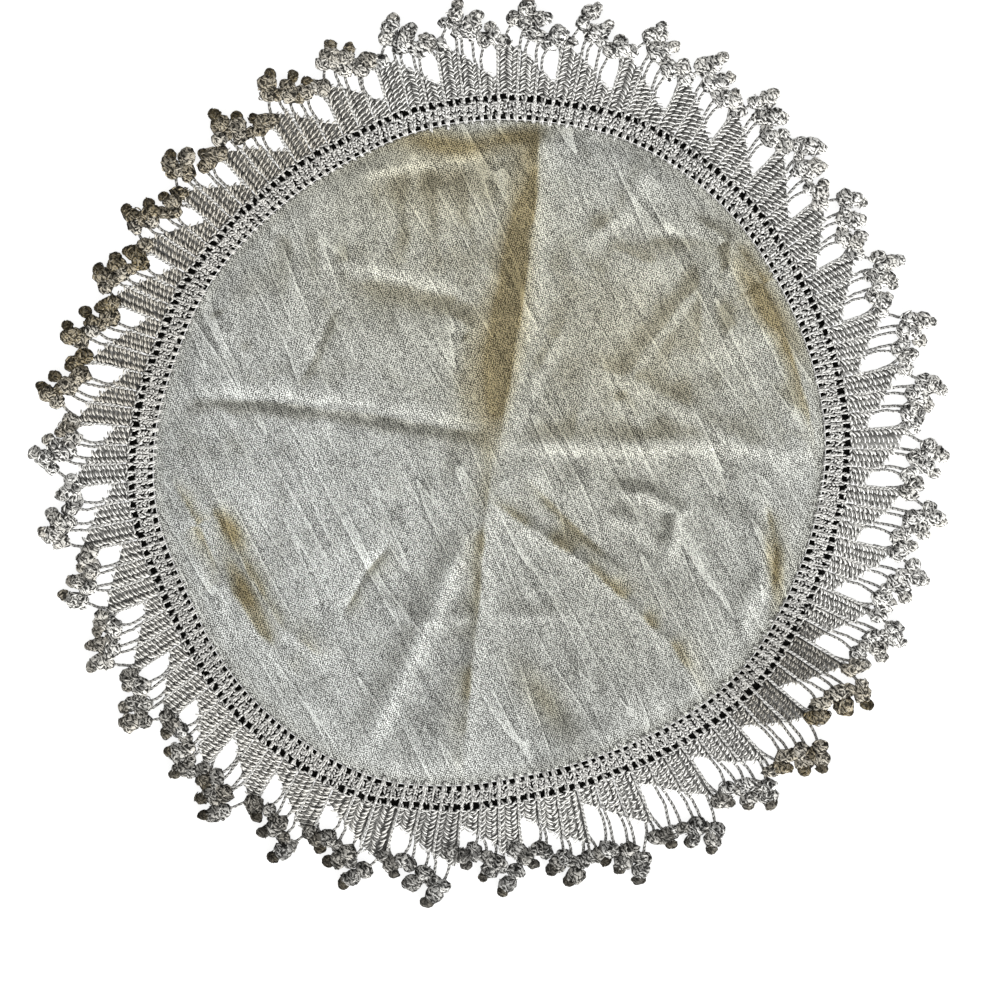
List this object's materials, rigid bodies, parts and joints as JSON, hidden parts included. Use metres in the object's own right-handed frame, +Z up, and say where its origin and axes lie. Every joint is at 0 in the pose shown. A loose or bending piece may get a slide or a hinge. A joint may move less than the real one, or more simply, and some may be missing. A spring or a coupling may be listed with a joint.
{
  "type": "crochet-edged round linen doily",
  "caption": "Round natural linen doily lying flat with quarter-fold creases, with a wide ecru crochet edging of ribbed saw teeth, open chain loops and bobbles.",
  "frame": {"origin": "on the surface the doily lies on, under the middle of the linen", "axes": "+Z up out of the doily's face, +X to the right and +Y away from the viewer as the doily is seen from above"},
  "size_m": [0.471, 0.4661, 0.0056],
  "materials": {
    "linen": "natural plain-weave linen, matt, creased",
    "crochet_thread": "twisted ecru cotton crochet thread, matt"
  },
  "bodies": {
    "root": {"linen_centre": "linen", "crochet_edging": "crochet_thread"}
  },
  "joints": []
}
